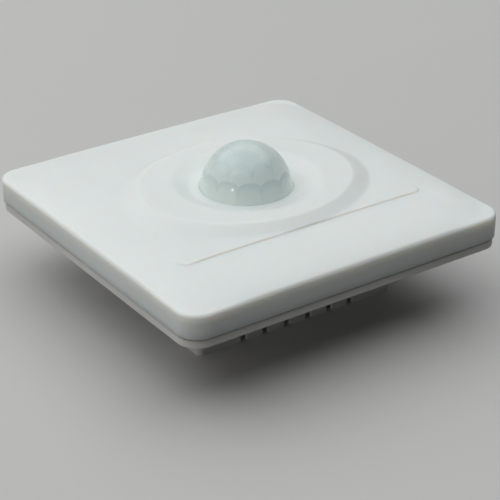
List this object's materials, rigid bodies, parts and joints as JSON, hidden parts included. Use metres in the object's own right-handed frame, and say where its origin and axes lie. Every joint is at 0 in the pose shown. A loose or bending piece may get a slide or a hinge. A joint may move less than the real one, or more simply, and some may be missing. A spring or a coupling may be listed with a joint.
{
  "type": "motion sensor light switch",
  "caption": "Square wall switch with a crowned white cover, a faceted dome lens in a dished oval mound, and a shallow vented housing behind it that goes into a wall box.",
  "frame": {"origin": "midway between the two fixing slots, on the plane where the base frame meets the wall", "axes": "+X to the right as seen from the room, +Y up the wall, +Z out of the wall; the strip below the step line is at -Y"},
  "size_m": [0.086, 0.086, 0.0375],
  "materials": {
    "cover_white": "white thermoplastic, satin gloss",
    "frame_white": "white thermoplastic, fine satin",
    "housing_white": "white flame-retardant plastic",
    "lens_frosted": "milky translucent polyethylene with moulded facets",
    "ring_white": "white plastic",
    "screw_steel": "zinc plated steel",
    "board_green": "glass fibre board with green solder mask",
    "black_plastic": "black moulded plastic",
    "sensor_can": "nickel plated steel can",
    "sensor_window": "dark coated silicon",
    "lead_tin": "tinned copper wire",
    "photocell_face": "orange film on ceramic",
    "trimmer_blue": "blue moulded plastic",
    "rotor_white": "white moulded plastic",
    "relay_blue": "blue plastic case",
    "film_yellow": "yellow plastic case",
    "varistor_blue": "blue epoxy coat",
    "fuse_glass": "clear glass",
    "capacitor_sleeve": "dark shrink sleeve over an aluminium can",
    "terminal_green": "green flame-retardant plastic",
    "brass": "bright brass",
    "clamp_steel": "zinc plated steel"
  },
  "bodies": {
    "base": {"base_frame": "frame_white", "rear_housing": "housing_white", "housing_screws": "screw_steel", "sensor_board": "board_green", "sensor_board_screws": "screw_steel", "pir_sensor_spacer": "black_plastic", "pir_sensor_can": "sensor_can", "pir_sensor_window": "sensor_window", "pir_sensor_leads": "lead_tin", "photocell": "photocell_face", "photocell_leads": "lead_tin", "signal_chip": "black_plastic", "signal_chip_pins": "lead_tin", "signal_capacitors": "capacitor_sleeve", "surface_resistors": "black_plastic", "time_trimmer_body": "trimmer_blue", "lux_trimmer_body": "trimmer_blue", "board_socket": "black_plastic", "board_header": "black_plastic", "header_pins": "brass", "power_board": "board_green", "relay_case": "relay_blue", "relay_pins": "lead_tin", "film_capacitor": "film_yellow", "film_capacitor_leads": "lead_tin", "reservoir_capacitor": "capacitor_sleeve", "reservoir_capacitor_leads": "lead_tin", "varistor": "varistor_blue", "varistor_leads": "lead_tin", "fuse_tube": "fuse_glass", "fuse_caps": "lead_tin", "rectifier_diodes": "black_plastic", "diode_leads": "lead_tin", "terminal_block": "terminal_green", "terminal_busbars": "brass"},
    "cover": {"front_cover": "cover_white", "lens_dome": "lens_frosted", "lens_clamp_ring": "ring_white", "clamp_ring_screws": "screw_steel"},
    "time_rotor": {"time_trimmer_rotor": "rotor_white"},
    "lux_rotor": {"lux_trimmer_rotor": "rotor_white"},
    "screw_1": {"terminal_screw_1": "screw_steel"},
    "clamp_1": {"terminal_clamp_1": "clamp_steel"},
    "screw_2": {"terminal_screw_2": "screw_steel"},
    "clamp_2": {"terminal_clamp_2": "clamp_steel"},
    "screw_3": {"terminal_screw_3": "screw_steel"},
    "clamp_3": {"terminal_clamp_3": "clamp_steel"}
  },
  "joints": [
    {"name": "cover_lift", "type": "slide", "parent": "base", "child": "cover", "axis": [0, 0, 1], "range_m": [0, 0.04]},
    {"name": "time_trimmer_turn", "type": "hinge", "parent": "base", "child": "time_rotor", "pos_m": [0.0174, 0.0167, 0.006], "axis": [0, 0, 1], "range_deg": [-120, 120]},
    {"name": "lux_trimmer_turn", "type": "hinge", "parent": "base", "child": "lux_rotor", "pos_m": [0.0174, -0.0167, 0.006], "axis": [0, 0, 1], "range_deg": [-120, 120]},
    {"name": "terminal_screw_1_turn", "type": "hinge", "parent": "base", "child": "screw_1", "pos_m": [-0.0252, -0.00987, -0.011], "axis": [1, 0, 0], "range_deg": [0, 1728.2]},
    {"name": "terminal_clamp_1_rise", "type": "slide", "parent": "base", "child": "clamp_1", "axis": [-1, 0, 0], "range_m": [0, 0.0024]},
    {"name": "terminal_screw_2_turn", "type": "hinge", "parent": "base", "child": "screw_2", "pos_m": [-0.0252, 0, -0.011], "axis": [1, 0, 0], "range_deg": [0, 1728.2]},
    {"name": "terminal_clamp_2_rise", "type": "slide", "parent": "base", "child": "clamp_2", "axis": [-1, 0, 0], "range_m": [0, 0.0024]},
    {"name": "terminal_screw_3_turn", "type": "hinge", "parent": "base", "child": "screw_3", "pos_m": [-0.0252, 0.00987, -0.011], "axis": [1, 0, 0], "range_deg": [0, 1728.2]},
    {"name": "terminal_clamp_3_rise", "type": "slide", "parent": "base", "child": "clamp_3", "axis": [-1, 0, 0], "range_m": [0, 0.0024]}
  ],
  "couplings": [
    {"joint": "terminal_screw_1_turn", "follows": "terminal_clamp_1_rise", "rad_per_m": 12566},
    {"joint": "terminal_screw_2_turn", "follows": "terminal_clamp_2_rise", "rad_per_m": 12566},
    {"joint": "terminal_screw_3_turn", "follows": "terminal_clamp_3_rise", "rad_per_m": 12566}
  ]
}
